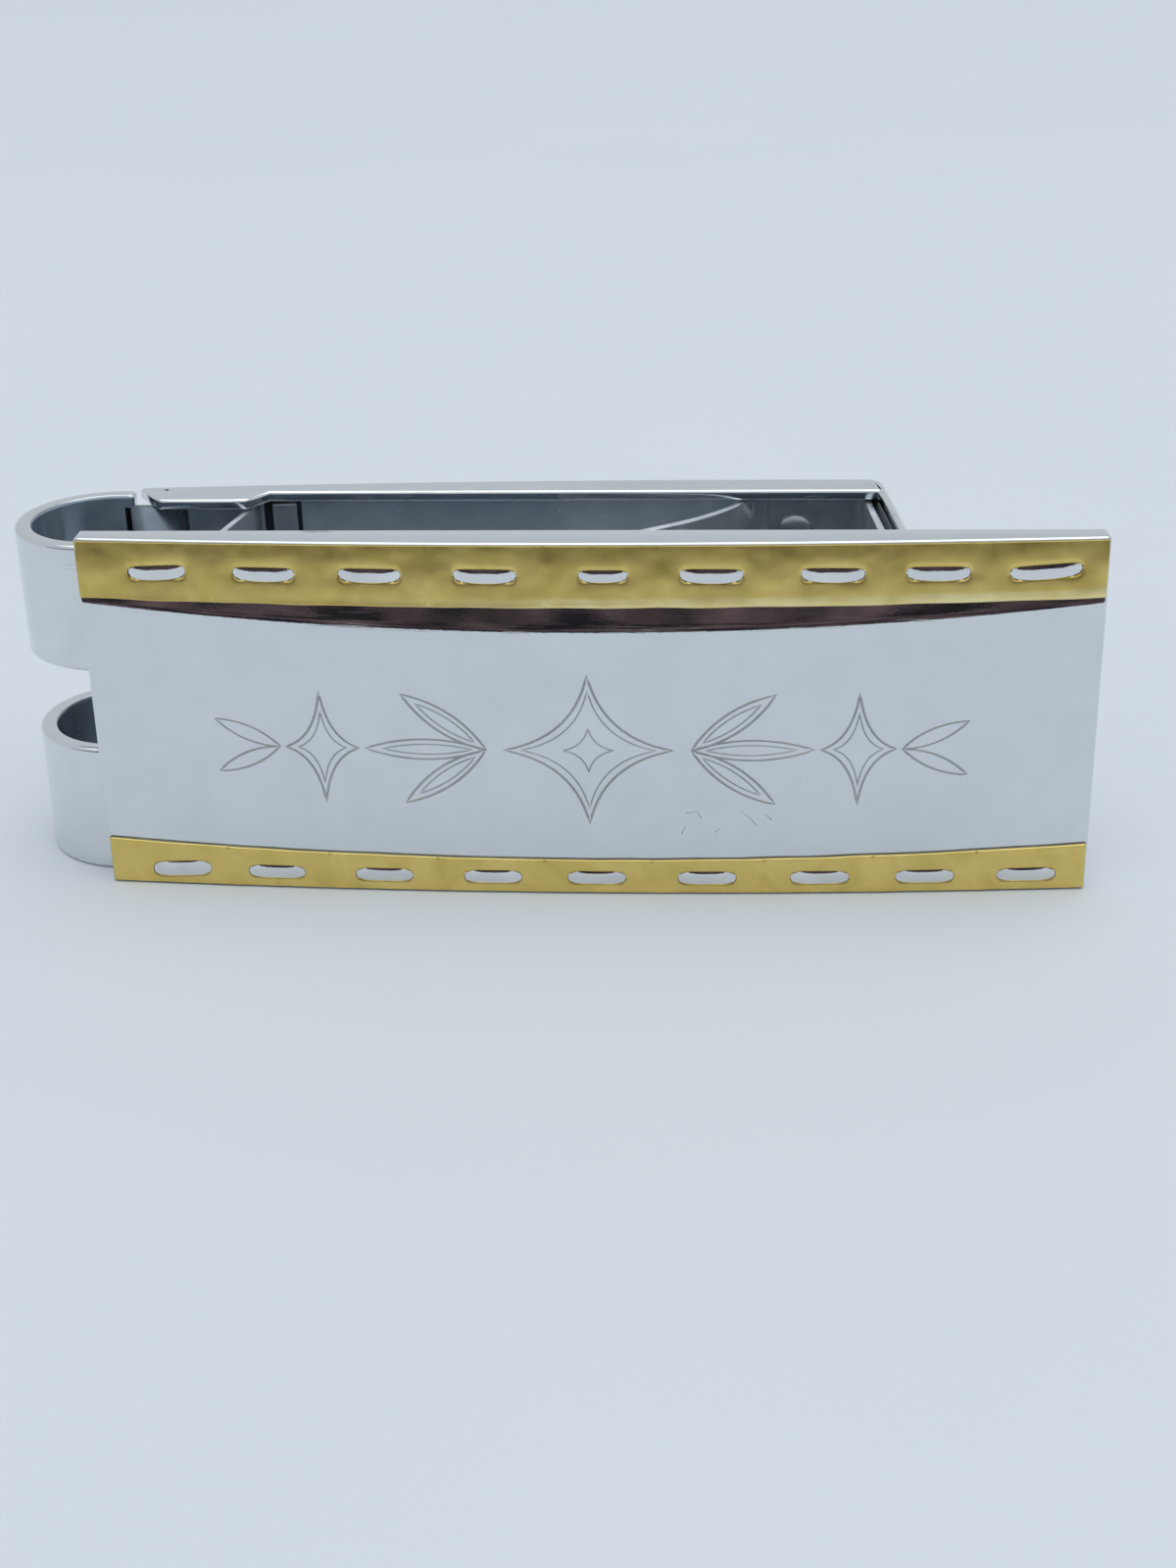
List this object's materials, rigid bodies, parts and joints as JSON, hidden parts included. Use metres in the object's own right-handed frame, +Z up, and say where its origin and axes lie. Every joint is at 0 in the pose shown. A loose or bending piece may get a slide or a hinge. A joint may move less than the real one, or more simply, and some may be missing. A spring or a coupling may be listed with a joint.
{
  "type": "hinged money clip",
  "caption": "Hinged spring money clip: convex mirror plate with stitched gold-tone bands, split bow and a pinned channel lever with leaf springs that clamps folded notes.",
  "frame": {"origin": "middle of the closed clip's box, on the surface its long lower edges stand on", "axes": "+X along the plate from the bow to the open tip, +Y from the face to the back, +Z up across the plate's height"},
  "size_m": [0.0556, 0.0138, 0.0191],
  "materials": {
    "chrome": "mirror polish with fine wear scratches",
    "gold": "satin gold plate, softly rippled",
    "spring_steel": "bright rolled strip, mottled by wear",
    "steel": "plain bright steel"
  },
  "bodies": {
    "frame": {"face_plate": "chrome", "upper_gold_band": "gold", "lower_gold_band": "gold", "backing_plate": "steel", "bow": "chrome", "bow_rivets": "steel"},
    "lever": {"lever": "chrome", "hinge_pin": "steel", "snap_spring": "spring_steel", "snap_spring_rivets": "steel", "grip_spring": "spring_steel", "grip_spring_rivets": "steel"}
  },
  "joints": [
    {"name": "lever_hinge", "type": "hinge", "parent": "frame", "child": "lever", "pos_m": [-0.02092, 0.00487, 0.0091], "axis": [0, 0, 1], "range_deg": [0, 75], "stiffness_Nm_per_rad": 0.05, "springref_deg": -20.05}
  ]
}
